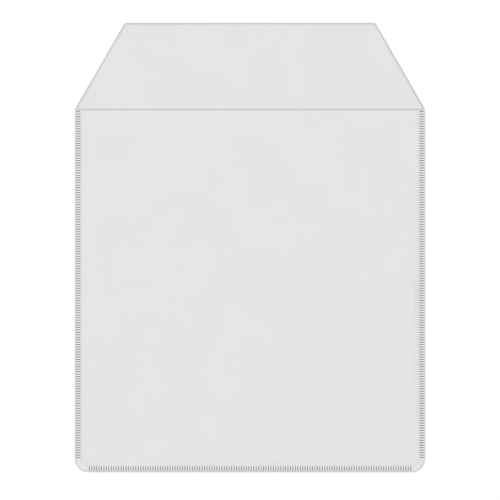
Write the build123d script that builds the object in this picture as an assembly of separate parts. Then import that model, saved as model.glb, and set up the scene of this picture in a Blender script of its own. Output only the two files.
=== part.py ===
from build123d import *
import math
import os

# Film and its cut outline, in millimetres and degrees
film_thickness = 0.2
sleeve_width = 130.0
pocket_height = 134.6
flap_height = 32.1
flap_side_angle = 60.0
corner_radius = 5.1
flap_corner_radius = 1.2

# Melted edge left by the hot cut
rim_width = 0.55
rim_round = 0.2
flap_rim_swell = 0.1

# Welds, pressed by a toothed bar
weld_width = 1.6
tick_pitch = 0.91
tick_width = 0.45
tick_depth = 0.12

# Room between the two films, and the scored fold at the root of the flap
pocket_gap = 1.4
fold_width = 0.8
score_width = 0.45
score_depth = 0.1

# Places that follow from the sizes above: the outline is centred on the origin, its back on z = 0
half_width = sleeve_width / 2
bottom_y = -(pocket_height + flap_height) / 2
fold_y = bottom_y + pocket_height
top_y = fold_y + flap_height
mouth_y = fold_y - fold_width / 2
flap_root_y = fold_y + fold_width / 2
flap_half_width = half_width - flap_height / math.tan(math.radians(flap_side_angle))
seam_width = rim_width + weld_width
weld_thickness = 2 * film_thickness
flap_rim_height = film_thickness + flap_rim_swell
front_z = film_thickness + pocket_gap

# The front film rises from the weld to its flat part within the corner radius,
# so the flat part has its bottom corners at the centres of the outline's corner arcs
corner_x = half_width - corner_radius
corner_y = bottom_y + corner_radius
bottom_length = 2 * corner_x
side_length = mouth_y - corner_y
flank_angle = 2 * math.atan2(pocket_gap, corner_radius - seam_width)


def sleeve_outline():
    """Outer edge of the back film: the pocket with round bottom corners and the tapered flap."""
    corners = [
        (-half_width, bottom_y),
        (half_width, bottom_y),
        (half_width, fold_y),
        (flap_half_width, top_y),
        (-flap_half_width, top_y),
        (-half_width, fold_y),
    ]
    face = make_face(Polyline(*corners, close=True))
    face = fillet(face.vertices().group_by(Axis.Y)[0], corner_radius)
    return fillet(face.vertices().group_by(Axis.Y)[-1], flap_corner_radius)


def between(face, low_y, high_y):
    """The part of a flat face that lies between two heights on the sheet."""
    strip = Rectangle(sleeve_width, high_y - low_y)
    return face & Pos(0, (low_y + high_y) / 2) * strip


def melted_rim(face, cut_y, height):
    """Bead along the outer edge of a face, round on top, and square where cut_y cuts it off."""
    sheet = extrude(face, height)
    top_edges = sheet.faces().sort_by(Axis.Z)[-1].edges()
    outer_edges = [edge for edge in top_edges if abs(edge.center().Y - cut_y) > rim_round]
    return fillet(outer_edges, rim_round) - extrude(offset(outline, -rim_width), height)


def groove(width, depth, length):
    """V-shaped cutter along X, with its open side on z = 0."""
    profile = Plane.YZ * make_face(Polyline((-width / 2, 0), (0, -depth), (width / 2, 0), close=True))
    return extrude(profile, length)


def flank_curve(lift):
    """S-bend of the front film: two tangent arcs, level at the weld and at the flat part.

    The lift moves the whole curve square to itself, so the film keeps its thickness.
    """
    foot = Vector(seam_width, film_thickness + lift)
    head = Vector(corner_radius, front_z + lift)
    normal = Vector(-math.sin(flank_angle), math.cos(flank_angle))
    middle = (foot + head) / 2 + (normal - Vector(0, 1)) * lift
    lower = TangentArc(foot, middle, tangent=(1, 0))
    upper = TangentArc(middle, head, tangent=lower % 1)
    return lower + upper


def weld_section():
    """Both films fused: x runs inward from the sleeve's outer edge, z up from its back."""
    return Plane.XZ * Pos(rim_width, 0) * Rectangle(weld_width, weld_thickness, align=Align.MIN)


def flank_section():
    """Front film between the weld and its flat part, in the same plane as the weld's section."""
    under = flank_curve(0)
    over = flank_curve(film_thickness)
    foot_edge = Line(over @ 0, under @ 0)
    head_edge = Line(under @ 1, over @ 1)
    return Plane.XZ * make_face(under + head_edge + over + foot_edge)


def along_side(section, length):
    """Section carried straight along +Y from the origin."""
    return extrude(section, length, dir=(0, 1, 0))


def round_corner(section):
    """Section turned a quarter round the corner's centre, from the left side to the bottom."""
    return revolve(section, Axis((corner_radius, 0, 0), (0, 0, 1)), 90)


def ticked_weld(length):
    """Weld along +Y from the origin, with its row of ticks centred on its length."""
    tick_count = math.floor((length - tick_width) / tick_pitch) + 1
    row = Pos(rim_width, length / 2, weld_thickness) * GridLocations(0, tick_pitch, 1, tick_count)
    return along_side(weld_section(), length) - row * groove(tick_width, tick_depth, weld_width)


def back_panel():
    """Back film inside the welds."""
    face = offset(outline, -seam_width)
    return extrude(between(face, bottom_y, mouth_y), film_thickness)


def front_panel():
    """Flat part of the front film, from the bottom flank to the open mouth."""
    low = Vector(-corner_x, corner_y, front_z)
    return Pos(low) * Box(bottom_length, side_length, film_thickness, align=Align.MIN)


def fold():
    """Strip across the whole sleeve, thinned along its middle so that it bends there."""
    strip = extrude(between(outline, mouth_y, flap_root_y), film_thickness)
    return strip - Pos(-half_width, fold_y, film_thickness) * groove(score_width, score_depth, sleeve_width)


def flap():
    """Back film above the fold, inside its rim."""
    face = offset(outline, -rim_width)
    return extrude(between(face, flap_root_y, top_y), film_thickness)


outline = sleeve_outline()
side_place = Pos(-half_width, corner_y)
bottom_place = Pos(corner_x, bottom_y) * Rot(0, 0, 90)

nodes = {
    "back_panel": back_panel(),
    "front_panel": front_panel(),
    "bottom_weld": bottom_place * ticked_weld(bottom_length),
    "bottom_flank": bottom_place * along_side(flank_section(), bottom_length),
    "pocket_rim": melted_rim(between(outline, bottom_y, mouth_y), mouth_y, weld_thickness),
    "fold": fold(),
    "flap": flap(),
    "flap_rim": melted_rim(between(outline, flap_root_y, top_y), flap_root_y, flap_rim_height),
}

# The right side of the sleeve is the mirror image of the left
side_pieces = {
    "weld": ticked_weld(side_length),
    "flank": along_side(flank_section(), side_length),
    "corner_weld": round_corner(weld_section()),
    "corner_flank": round_corner(flank_section()),
}
for name, piece in side_pieces.items():
    nodes[f"left_{name}"] = side_place * piece
    nodes[f"right_{name}"] = mirror(side_place * piece, about=Plane.YZ)

os.makedirs("parts", exist_ok=True)
for name, node in nodes.items():
    export_step(node, f"parts/{name}.step")
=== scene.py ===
import math

import bpy
import numpy as np
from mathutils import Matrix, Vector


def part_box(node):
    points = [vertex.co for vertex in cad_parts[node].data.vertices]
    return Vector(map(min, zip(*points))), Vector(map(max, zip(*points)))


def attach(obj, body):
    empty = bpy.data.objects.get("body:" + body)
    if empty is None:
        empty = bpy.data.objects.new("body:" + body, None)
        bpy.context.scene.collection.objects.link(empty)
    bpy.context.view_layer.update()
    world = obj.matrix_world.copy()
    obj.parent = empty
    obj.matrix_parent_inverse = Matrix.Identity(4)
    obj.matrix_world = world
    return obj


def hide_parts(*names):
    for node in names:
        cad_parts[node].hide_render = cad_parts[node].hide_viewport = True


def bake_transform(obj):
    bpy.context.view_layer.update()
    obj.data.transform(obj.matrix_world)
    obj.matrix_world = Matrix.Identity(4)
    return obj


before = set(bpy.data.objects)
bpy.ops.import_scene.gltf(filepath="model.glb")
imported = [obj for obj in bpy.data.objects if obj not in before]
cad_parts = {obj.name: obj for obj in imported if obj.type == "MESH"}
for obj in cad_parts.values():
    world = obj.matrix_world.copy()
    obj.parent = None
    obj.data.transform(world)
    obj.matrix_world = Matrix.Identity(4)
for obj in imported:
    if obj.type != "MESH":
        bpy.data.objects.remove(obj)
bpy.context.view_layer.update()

# A pocket of clear film: two films welded along the sides and the bottom, of which the back one runs on
# past the mouth as a flap. Lengths are in metres, unless a name ends in _mm.
MM = 0.001

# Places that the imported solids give
rim_low, rim_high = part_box("pocket_rim")
weld_low, weld_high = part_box("left_weld")
panel_low, panel_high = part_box("front_panel")
fold_low, fold_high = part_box("fold")
tip_low, tip_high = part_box("flap_rim")

half_width = rim_high.x
bottom_y = rim_low.y
mouth_y = rim_high.y
fold_y = (fold_low.y + fold_high.y) / 2
top_y = tip_high.y
corner_x = panel_high.x
corner_y = panel_low.y
corner_radius = corner_y - bottom_y
rim_width = weld_low.x + half_width
seam_width = weld_high.x + half_width
film_thickness = fold_high.z
weld_top = weld_high.z
front_under = panel_low.z
flap_rim_top = tip_high.z

# Sizes that no box of a solid gives. The flap bends up to fold_reach past the fold.
flap_side_angle = math.radians(60)
flap_corner_radius = 1.2 * MM
score_width = 0.45 * MM
score_depth = 0.1 * MM
fold_reach = 2.0 * MM

# Ticks of the welds. Their ends slope up, and their floors, dark with painted shade, stop short of the ends.
tick_pitch = 0.91 * MM
tick_width = 0.45 * MM
tick_depth = 0.12 * MM
tick_slope = 0.2 * MM
tick_floor = 0.31 * MM
tick_ends = 0.075 * MM

# The melted edge's mitre at the fold, and the power that squares up its round section
mitre_gap = 0.01 * MM
bead_power = 0.7

# Edges that turn by more than this stay sharp
crease_angle = math.radians(50)

# Slow waves of the slack film: length in millimetres, direction in degrees, and start in turns
slack_waves = [(72, 14, 0.05), (49, -31, 0.3), (34, 74, 0.62), (26, 38, 0.44), (21, -12, 0.8)]
front_sag = 1.2 * MM
flap_lift = 0.3 * MM
lift_ramp = 8 * MM

# Tints that dim what shows through a finish, and the colour of the film's haze
FILM_GREY = (0.3, 0.3, 0.3)
FILM_CLEAR = (0.92, 0.92, 0.92)
RIM_GREY = (0.4, 0.4, 0.4)
# Tint of the ticks' floors: painted shade in the pressed grooves
TICK_SHADE_GREY = (0.05, 0.05, 0.05)
HAZE_WHITE = (0.78, 0.78, 0.78)

# Shares of a finish that its tint dims, and how far the even ones waver
back_dim = 0.0465
front_dim = 0.005
flap_dim = 0.0775
# Share dimmed along the score: painted shade in the crease
score_shade_dim = 0.185
corner_weld_dim = 0.06
weld_border_dim = 0.03
# Share dimmed on the ticks' floors: painted shade in the grooves
tick_shade_dim = 0.467
rim_dim = 0.163
flap_rim_dim = 1.45 * rim_dim
dim_spread = 0.1

# Widths over which a finish fades. The score's painted shade is dark up to the first distance and clear past
# the second.
score_shade_fade_mm = (0.06, 0.2)
border_fade_mm = 0.15
flap_rim_fade_mm = 1

# Gloss and haze of the film, and how high its unevenness stands
mirror_head_on = 0.04
haze_least = 0.01
haze_spread = 0.02
rough_least = 0.06
rough_spread = 0.12
wave_height_mm = 0.6
line_height_mm = 0.01

# Soft noises over a finish: spots to the metre across and along the sleeve, and levels of finer spots
clouds = (45, 45, 3)
gloss_spots = (70, 70, 3)
bump_waves = (45, 25, 2)
making_lines = (1500, 12, 2)
rim_spots = (300, 300, 2)

# Table and lamp, and the room: its glow at the horizon, in the shade above that and on the ceiling, and
# the heights of the line of sight, as its sine, between which the shade and the ceiling begin
table_reach = 1.4
table_gap = 0.05 * MM
table_white = 0.95
horizon_glow = 1
shade_glow = 0.54
ceiling_glow = 0.985
shade_start = (0.1, 0.36)
ceiling_start = (0.38, 0.47)
lamp_width = 1.2
lamp_power = 11
lamp_place = (-0.9, 1.0, 1.7)

# What the picture takes in on the table, and the lens and sensor in millimetres
picture_width = 185.42 * MM
picture_x = 0.015 * MM
picture_y = -0.9 * MM
lens_mm = 100
sensor_mm = 36

# Centre of the round at the flap's right tip corner
tip_y = top_y - flap_corner_radius
tip_x = (
    half_width
    - (tip_y - fold_y) / math.tan(flap_side_angle)
    - flap_corner_radius / math.sin(flap_side_angle)
)


def steps(*stops):
    """Numbers through (value, count) stops: the first value, then count even steps to each next one."""
    values = [np.array([stops[0][0]])]
    for (start, _), (end, count) in zip(stops, stops[1:]):
        values.append(np.linspace(start, end, count + 1)[1:])
    return np.concatenate(values)


def arc_steps(start, end, count):
    """Numbers from start to end, closer together at the start, as equal angles of a quarter circle."""
    return start + (end - start) * (1 - np.cos(np.linspace(0, math.pi / 2, count + 1)))


def even(count):
    """Even shares of the way along an edge, from its start to one short of its end."""
    return np.arange(count) / count


def between(values):
    """Means of neighbouring numbers, one for each cell between two lines of a grid."""
    return (values[:-1] + values[1:]) / 2


def half_width_at(y, inset):
    """Half the sleeve's width at height y, with its outline moved in by inset.

    It is the least of the straight side, the round bottom corner, the leaning side of the flap and
    the round at the flap's tip, each moved in along its own normal.
    """
    corner = corner_radius - inset
    below = np.clip(corner_y - y, 0, corner)
    bottom = corner_x + np.sqrt(corner**2 - below**2)
    lean = half_width - (y - fold_y) / math.tan(flap_side_angle) - inset / math.sin(flap_side_angle)
    tip = flap_corner_radius - inset
    above = np.clip(y - tip_y, 0, tip)
    round_tip = tip_x + np.sqrt(tip**2 - above**2)
    lean = np.where(y - tip_y > tip * math.cos(flap_side_angle), round_tip, lean)
    return np.minimum(bottom, lean)


def sheet_grid(heights, across, inset):
    """Plan of a sheet: each row is a height on the sleeve, spread across its width at that height."""
    y = np.repeat(heights[:, None], len(across), axis=1)
    x = across[None, :] * half_width_at(heights, inset)[:, None]
    return x, y


def add_mesh(name, points, faces, marks):
    """Mesh of numpy points and four-cornered faces, with its plan as UV map and its marks as attributes."""
    mesh = bpy.data.meshes.new(name)
    mesh.from_pydata(points, [], faces)
    mesh.polygons.foreach_set("use_smooth", np.ones(len(faces), bool))
    mesh.set_sharp_from_angle(angle=crease_angle)
    corner_points = np.zeros(len(mesh.loops), np.int32)
    mesh.loops.foreach_get("vertex_index", corner_points)
    plan = mesh.uv_layers.new(name="plan")
    plan.uv.foreach_set("vector", points[corner_points, :2].astype(np.float32).ravel())
    for mark, values in marks.items():
        attribute = mesh.attributes.new(mark, "FLOAT", "POINT")
        attribute.data.foreach_set("value", values.astype(np.float32).ravel())
    mesh.update()
    piece = bpy.data.objects.new(name, mesh)
    bpy.context.scene.collection.objects.link(piece)
    return piece


def closed_sheet(name, x, y, under, over, **marks):
    """Closed film between two height fields on one grid, whose columns run to the right of its rows."""
    index = np.arange(x.size).reshape(x.shape)
    top = np.stack([index[:-1, :-1], index[:-1, 1:], index[1:, 1:], index[1:, :-1]], -1).reshape(-1, 4)
    border = np.concatenate([index[0, :-1], index[:-1, -1], index[-1, :0:-1], index[:0:-1, 0]])
    ahead = np.roll(border, -1)
    walls = np.stack([border + x.size, ahead + x.size, ahead, border], -1)
    faces = np.concatenate([top, top[:, ::-1] + x.size, walls])
    points = np.concatenate([np.stack([x, y, z], -1).reshape(-1, 3) for z in (over, under)])
    return add_mesh(name, points, faces, {mark: np.tile(values.ravel(), 2) for mark, values in marks.items()})


def second_finish(sheet, cells):
    """Gives some cells of a closed sheet's grid its second finish, above and below."""
    finish = np.zeros(len(sheet.data.polygons), np.int32)
    finish[: 2 * cells.size] = np.tile(cells.ravel(), 2)
    sheet.data.polygons.foreach_set("material_index", finish)


def straight(start, end, shares):
    """Rows of point and inward direction at shares of the way along a straight edge.

    Inward is to the left of the travel.
    """
    run = np.subtract(end, start)
    inward = np.array([-run[1], run[0]]) / np.hypot(*run)
    return np.hstack([start + shares[:, None] * run, np.tile(inward, (len(shares), 1))])


def turn(centre, radius, start_degrees, end_degrees, count):
    """Rows of point and inward direction round an arc, counter-clockwise. Inward is towards its centre."""
    angle = np.radians(np.linspace(start_degrees, end_degrees, count, endpoint=False))
    outward = np.stack([np.cos(angle), np.sin(angle)], -1)
    return np.hstack([centre + radius * outward, -outward])


def tick_row(length):
    """Shares of the way along a ticked weld, and how far each lies from the middle of its tick.

    Each tick has lines at its middle, on its floor, at its edges and half-way to the tick before it.
    The row of ticks is centred on the weld.
    """
    count = math.floor((length - tick_width) / tick_pitch) + 1
    middles = length / 2 + (np.arange(count) - (count - 1) / 2) * tick_pitch
    floor = steps((-tick_floor / 2, 0), (tick_floor / 2, 4))
    lines = np.concatenate([[-tick_pitch / 2, -tick_width / 2], floor, [tick_width / 2]])
    shares = np.clip((middles[:, None] + lines).ravel() / length, 0, 1)
    return shares, np.tile(np.abs(lines), count)


def slack(x, y):
    """How far slack film sags, from 0 to 1: crossing sine waves, each as high as it is long."""
    sag = np.zeros_like(x)
    for length, degrees, start in slack_waves:
        along = x * math.cos(math.radians(degrees)) + y * math.sin(math.radians(degrees))
        sag += length * (0.5 + 0.5 * np.sin(2 * math.pi * (along / (length * MM) + start)))
    return sag / sum(length for length, _, _ in slack_waves)


def lift(x, y):
    """Height of the flap's back above the table: slack waves that rise smoothly past the fold."""
    past = np.clip((y - fold_y - fold_reach) / lift_ramp, 0, 1)
    return flap_lift * slack(x, y) * past**2 * (3 - 2 * past)


def back_film():
    """Flat back of the pocket inside the welds."""
    heights = np.concatenate([
        arc_steps(bottom_y + seam_width, corner_y, count=12),
        steps((corner_y, 0), (mouth_y, 60))[1:],
    ])
    x, y = sheet_grid(heights, np.linspace(-1, 1, num=61), seam_width)
    return closed_sheet("back_film", x, y, np.zeros_like(x), np.full_like(x, film_thickness))


def flap_film():
    """Scored fold and flap in one sheet. The score is a groove of half a cosine wave across the sleeve."""
    heights = np.concatenate([
        steps((mouth_y, 0), (fold_y - score_width / 2, 3), (fold_y + score_width / 2, 10),
              (fold_y + fold_reach, 16), (tip_y, 40)),
        top_y - arc_steps(rim_width, top_y - tip_y, count=8)[-2::-1],
    ])
    x, y = sheet_grid(heights, np.linspace(-1, 1, num=81), rim_width)
    nearness = 1 - np.clip(2 * np.abs(y - fold_y) / score_width, 0, 1)
    score = 0.5 - 0.5 * np.cos(math.pi * nearness)
    under = lift(x, y)
    over = under + film_thickness - score_depth * score
    return closed_sheet("flap_film", x, y, under, over, past_fold_mm=(y - fold_y) / MM)


def front_film():
    """Front of the pocket: level with slow waves, and falling to the weld in half a cosine wave."""
    flank = corner_radius - seam_width
    heights = np.concatenate([
        arc_steps(bottom_y + seam_width, corner_y, count=16),
        steps((corner_y, 0), (mouth_y, 96))[1:],
    ])
    flat_share = corner_x / (corner_x + flank)
    across = steps((-1, 0), (-flat_share, 14), (flat_share, 96), (1, 14))
    x, y = sheet_grid(heights, across, seam_width)
    away = np.hypot(np.clip(np.abs(x) - corner_x, 0, None), np.clip(corner_y - y, 0, None))
    drop = 0.5 - 0.5 * np.cos(math.pi * np.clip(away / flank, 0, 1))
    sag = front_sag * slack(x, y) * (1 - drop)
    under = front_under - (front_under - film_thickness) * drop - sag
    return closed_sheet("front_film", x, y, under, under + film_thickness)


def weld_band():
    """Weld along the left, bottom and right: its width carried round the pocket, pressed by the ticks.

    A tick is a groove of half a cosine wave. The cells on the floors of the ticks get the second finish,
    which paints shade into them.
    """
    side_shares, side_away = tick_row(mouth_y - corner_y)
    bottom_shares, bottom_away = tick_row(2 * corner_x)
    corner_cells = 16
    plain = np.full(corner_cells, tick_pitch / 2)
    path = np.concatenate([
        straight((-half_width, mouth_y), (-half_width, corner_y), side_shares),
        turn((-corner_x, corner_y), corner_radius, 180, 270, corner_cells),
        straight((-corner_x, bottom_y), (corner_x, bottom_y), bottom_shares),
        turn((corner_x, corner_y), corner_radius, 270, 360, corner_cells),
        straight((half_width, corner_y), (half_width, mouth_y), side_shares),
        [[half_width, mouth_y, -1, 0]],
    ])
    runs = [side_away, plain, bottom_away, plain, side_away, plain[:1]]
    away = np.concatenate(runs)
    ticked = np.repeat([1, 0, 1, 0, 1, 1], [len(run) for run in runs])
    inset = steps(
        (seam_width, 0), (seam_width - tick_ends, 1), (seam_width - tick_slope, 1),
        (rim_width + tick_slope, 3), (rim_width + tick_ends, 1), (rim_width, 1),
    )
    x = path[:, 0, None] + path[:, 2, None] * inset
    y = path[:, 1, None] + path[:, 3, None] * inset
    from_ends = np.minimum(inset - rim_width, seam_width - inset)
    slope = np.clip(from_ends / tick_slope, 0, 1)
    groove = 0.5 + 0.5 * np.cos(math.pi * np.clip(2 * away / tick_width, 0, 1))
    band = closed_sheet(
        "weld_band", x, y, np.zeros_like(x), weld_top - tick_depth * groove[:, None] * slope,
        ticked=np.broadcast_to(ticked[:, None], x.shape),
        inset_mm=np.broadcast_to(inset / MM, x.shape),
    )
    on_floor = between(away) < tick_floor / 2
    second_finish(band, on_floor[:, None] & (between(from_ends) > tick_ends))
    return band


def edge_bead():
    """Melted edge round the whole sleeve: a rounded bar carried along the outline, lower round the flap.

    Its section is a circle, squared up by a power of its sine and cosine and scaled to the edge's size.
    """
    lean = np.array([math.sin(flap_side_angle), math.cos(flap_side_angle)])
    side_tip = np.array([tip_x, tip_y]) + flap_corner_radius * lean
    mitre = -(np.array([1, 0]) + lean) / (1 + lean[0])
    mirror = np.array([-1, 1, -1, 1])
    right_flap = np.concatenate([
        [[half_width, fold_y, *mitre]],
        straight((half_width, fold_y + mitre_gap), side_tip, even(count=220))[1:],
        turn((tip_x, tip_y), flap_corner_radius, 90 - math.degrees(flap_side_angle), 90, count=10),
    ])
    top = straight((tip_x, top_y), (-tip_x, top_y), even(count=60))
    left_flap = right_flap[::-1] * mirror
    left_side = np.concatenate([
        straight((-half_width, mouth_y), (-half_width, corner_y), even(count=60)),
        turn((-corner_x, corner_y), corner_radius, 180, 270, count=20),
    ])
    bottom = straight((-corner_x, bottom_y), (corner_x, bottom_y), even(count=60))
    right_side = np.concatenate([
        turn((corner_x, corner_y), corner_radius, 270, 360, count=20),
        straight((half_width, corner_y), (half_width, mouth_y), even(count=60)),
        [[half_width, mouth_y, -1, 0]],
    ])
    path = np.concatenate([right_flap, top, left_flap, left_side, bottom, right_side])
    angle = np.linspace(0, 2 * math.pi, num=16, endpoint=False)
    across = 0.5 - 0.5 * np.sign(np.cos(angle)) * np.abs(np.cos(angle)) ** bead_power
    height = 0.5 + 0.5 * np.sign(np.sin(angle)) * np.abs(np.sin(angle)) ** bead_power
    rise = np.where(path[:, 1] > fold_y, flap_rim_top, weld_top)
    x = path[:, 0, None] + path[:, 2, None] * rim_width * across
    y = path[:, 1, None] + path[:, 3, None] * rim_width * across
    z = rise[:, None] * height + lift(x, y)
    index = np.arange(x.size).reshape(x.shape)
    ahead = np.roll(index, -1, axis=0)
    faces = np.stack([index, ahead, np.roll(ahead, -1, axis=1), np.roll(index, -1, axis=1)], -1)
    points = np.stack([x, y, z], -1).reshape(-1, 3)
    return add_mesh("edge_bead", points, faces.reshape(-1, 4), {"past_fold_mm": (y - fold_y) / MM})


class Signal:
    """A socket of a finish. Arithmetic on it adds Math nodes."""

    def __init__(self, finish, socket):
        self.finish = finish
        self.socket = socket

    def math(self, operation, *values):
        """Adds a Math node that works on these values."""
        return self.finish.node("ShaderNodeMath", {"operation": operation}, dict(enumerate(values)))

    def __add__(self, other):
        return self.math("ADD", self, other)

    def __sub__(self, other):
        return self.math("SUBTRACT", self, other)

    def __rsub__(self, other):
        return self.math("SUBTRACT", other, self)

    def __mul__(self, other):
        return self.math("MULTIPLY", self, other)

    def __pow__(self, other):
        return self.math("POWER", self, other)

    def __abs__(self):
        return self.math("ABSOLUTE", self)

    __radd__ = __add__
    __rmul__ = __mul__


class Finish:
    """The nodes of a material, or of the world, built one by one."""

    def __init__(self, owner):
        owner.use_nodes = True
        self.owner = owner
        self.tree = owner.node_tree
        self.tree.nodes.clear()

    def node(self, kind, settings, sockets, output=0):
        """Adds a node, makes its settings, then sets or links its sockets. Gives one of its outputs."""
        added = self.tree.nodes.new(kind)
        for name, value in settings.items():
            setattr(added, name, value)
        for key, value in sockets.items():
            if isinstance(value, Signal):
                self.tree.links.new(value.socket, added.inputs[key])
            else:
                added.inputs[key].default_value = value
        return Signal(self, added.outputs[output]) if added.outputs else None

    def noise(self, across, along, detail):
        """Soft noise over the piece's plan: spots to the metre each way, and levels of finer spots."""
        plan = self.node("ShaderNodeUVMap", {"uv_map": "plan"}, {})
        spots = self.node("ShaderNodeMapping", {}, {"Vector": plan, "Scale": (across, along, 1)})
        return self.node("ShaderNodeTexNoise", {}, {"Vector": spots, "Scale": 1, "Detail": detail})

    def uneven(self, spots):
        """About 1, wavering softly by a small share either way."""
        return 1 - dim_spread + 2 * dim_spread * self.noise(*spots)

    def cloudy(self):
        """Share of the light that turns into haze, with soft clouds."""
        return haze_least + haze_spread * self.noise(*clouds)

    def mark(self, name):
        """A mark that the piece's mesh carries, such as how far past the fold it is."""
        return self.node("ShaderNodeAttribute", {"attribute_name": name}, {}, output="Fac")

    def rise(self, value, start, end):
        """0 before start, rising smoothly to 1 at end."""
        sockets = {"Value": value, "From Min": start, "From Max": end}
        return self.node("ShaderNodeMapRange", {"interpolation_type": "SMOOTHSTEP"}, sockets)

    def film(self, tint, dimmed, hazed):
        """Clear film: its tint dims a share of what shows through it, and a share of it is pale haze.

        Its gloss mirrors a little head on, and more with the fifth power of how far it turns away.
        Slow waves and the faint lines of its making bend the gloss.
        """
        # At half blend, Facing is 1 less the cosine of the angle that the film is seen at
        aslant = self.node("ShaderNodeLayerWeight", {}, {"Blend": 0.5}, output="Facing")
        mirrored = mirror_head_on + (1 - mirror_head_on) * aslant**5
        rough = rough_least + rough_spread * self.noise(*gloss_spots)
        height = wave_height_mm * self.noise(*bump_waves) + line_height_mm * self.noise(*making_lines)
        bump = self.node("ShaderNodeBump", {}, {"Strength": 1, "Distance": MM, "Height": height})
        clear = self.node("ShaderNodeBsdfTransparent", {}, {})
        tinted = self.node("ShaderNodeBsdfTransparent", {}, {"Color": (*tint, 1)})
        skin = {"Roughness": rough, "Normal": bump}
        haze = self.node("ShaderNodeBsdfPrincipled", {}, {"Base Color": (*HAZE_WHITE, 1), **skin})
        gloss = self.node("ShaderNodeBsdfGlossy", {}, skin)
        through = self.node("ShaderNodeMixShader", {}, {0: dimmed, 1: clear, 2: tinted})
        body = self.node("ShaderNodeMixShader", {}, {0: hazed, 1: through, 2: haze})
        surface = self.node("ShaderNodeMixShader", {}, {0: mirrored, 1: body, 2: gloss})
        self.node("ShaderNodeOutputMaterial", {}, {"Surface": surface})
        return self.owner


def clear_film(name, tint, dim):
    """Plain film, slightly cloudy."""
    finish = Finish(bpy.data.materials.new(name))
    return finish.film(tint, dim * finish.uneven(clouds), finish.cloudy())


def scored_film(name):
    """Plain film of the flap, with a line of painted shade along the score."""
    finish = Finish(bpy.data.materials.new(name))
    # Painted shade along the crease of the score
    score = 1 - finish.rise(abs(finish.mark("past_fold_mm")), *score_shade_fade_mm)
    dimmed = flap_dim * finish.uneven(clouds) + score_shade_dim * score
    return finish.film(FILM_GREY, dimmed, finish.cloudy())


def weld_finish(name):
    """Fused film: as dim as plain film round the corners, clear between the ticks, faint beside their row."""
    finish = Finish(bpy.data.materials.new(name))
    ticked = finish.mark("ticked")
    inset = finish.mark("inset_mm")
    rim_mm = rim_width / MM
    seam_mm = seam_width / MM
    past_rim = finish.rise(inset, rim_mm, rim_mm + border_fade_mm)
    past_row = finish.rise(inset, seam_mm - border_fade_mm, seam_mm)
    in_row = past_rim * (1 - past_row)
    dimmed = corner_weld_dim * (1 - ticked) + weld_border_dim * ticked * (1 - in_row)
    return finish.film(FILM_GREY, dimmed, finish.cloudy())


def tick_shade_finish(name):
    """Floor of a tick, where the bar has pressed the fused film, darkened with painted shade. All ticks are
    alike.
    """
    finish = Finish(bpy.data.materials.new(name))
    return finish.film(TICK_SHADE_GREY, tick_shade_dim, haze_least + haze_spread / 2)


def rim_finish(name):
    """Melted edge, denser than the film, and denser still round the flap."""
    finish = Finish(bpy.data.materials.new(name))
    on_flap = finish.rise(finish.mark("past_fold_mm"), 0, flap_rim_fade_mm)
    dimmed = rim_dim + (flap_rim_dim - rim_dim) * on_flap
    return finish.film(RIM_GREY, dimmed * finish.uneven(rim_spots), finish.cloudy())


def white_table():
    """Square white table just under the sleeve."""
    mesh = bpy.data.meshes.new("table")
    corners = table_reach * np.array([(-1, -1), (1, -1), (1, 1), (-1, 1)])
    mesh.from_pydata([(x, y, -table_gap) for x, y in corners], [], [(0, 1, 2, 3)])
    table = bpy.data.objects.new("table", mesh)
    bpy.context.scene.collection.objects.link(table)
    finish = Finish(bpy.data.materials.new("table_white"))
    paint = finish.node("ShaderNodeBsdfDiffuse", {}, {"Color": (table_white, table_white, table_white, 1)})
    finish.node("ShaderNodeOutputMaterial", {}, {"Surface": paint})
    mesh.materials.append(finish.owner)


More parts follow.
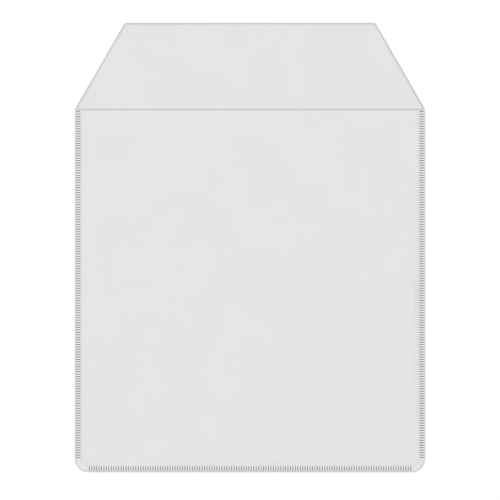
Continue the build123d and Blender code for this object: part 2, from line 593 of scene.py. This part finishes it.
def room_and_lamp():
    """White room, shaded between its horizon and its ceiling so that gloss shows, and one large soft lamp."""
    room = Finish(bpy.data.worlds.new("room"))
    direction = room.node("ShaderNodeTexCoord", {}, {}, output="Generated")
    upward = room.node("ShaderNodeSeparateXYZ", {}, {"Vector": direction}, output="Z")
    shade = room.rise(upward, *shade_start)
    ceiling = room.rise(upward, *ceiling_start)
    glow = horizon_glow - (horizon_glow - shade_glow) * shade + (ceiling_glow - shade_glow) * ceiling
    light = room.node("ShaderNodeBackground", {}, {"Color": (1, 1, 1, 1), "Strength": glow})
    room.node("ShaderNodeOutputWorld", {}, {"Surface": light})
    # Light that finds the room by itself, with none aimed at it, leaves less grain behind clear film
    room.owner.cycles.sampling_method = "NONE"
    bpy.context.scene.world = room.owner

    lamp = bpy.data.lights.new("softbox", "AREA")
    lamp.shape = "DISK"
    lamp.size = lamp_width
    lamp.energy = lamp_power
    holder = bpy.data.objects.new("softbox", lamp)
    holder.location = lamp_place
    holder.rotation_euler = (-holder.location).to_track_quat("-Z", "Y").to_euler()
    bpy.context.scene.collection.objects.link(holder)


def camera_above():
    """Long lens straight above the sleeve, as far up as the width of the picture needs."""
    camera = bpy.data.cameras.new("camera")
    camera.lens = lens_mm
    camera.sensor_width = sensor_mm
    camera.clip_start = 10 * MM
    holder = bpy.data.objects.new("camera", camera)
    holder.location = (picture_x, picture_y, picture_width * lens_mm / sensor_mm + film_thickness)
    bpy.context.scene.collection.objects.link(holder)
    bpy.context.scene.camera = holder


def dress(piece, slot, nodes, *finishes):
    """Gives a piece its finishes and hides the solids that it stands for."""
    for finish in finishes:
        piece.data.materials.append(finish)
    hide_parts(*nodes)


def bend_at_fold(piece):
    """Bakes the piece's place into its mesh."""
    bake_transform(piece)


back = back_film()
dress(back, "film", ["back_panel"], clear_film("back_haze", FILM_GREY, back_dim))
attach(back, "pocket")

front = front_film()
flanks = ["left_flank", "right_flank", "bottom_flank", "left_corner_flank", "right_corner_flank"]
dress(front, "film", ["front_panel", *flanks], clear_film("front_haze", FILM_CLEAR, front_dim))
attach(front, "pocket")

weld = weld_band()
welds = ["left_weld", "right_weld", "bottom_weld", "left_corner_weld", "right_corner_weld"]
# The ticks' floors get a finish darkened with painted shade
dress(weld, "weld", welds, weld_finish("weld_haze"), tick_shade_finish("tick_painted_shade"))
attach(weld, "pocket")

flap = flap_film()
dress(flap, "film", ["fold", "flap"], scored_film("flap_haze_and_score_shade"))
bend_at_fold(flap)

bead = edge_bead()
dress(bead, "rim", ["pocket_rim", "flap_rim"], rim_finish("rim_haze"))
bend_at_fold(bead)

white_table()
room_and_lamp()
camera_above()
bpy.context.scene.view_settings.view_transform = "Standard"

# Light passes many faces of clear film, and none of it is ended early by chance, which would leave grain
paths = bpy.context.scene.cycles
paths.transparent_max_bounces = 32
paths.min_transparent_bounces = 16
paths.min_light_bounces = 6
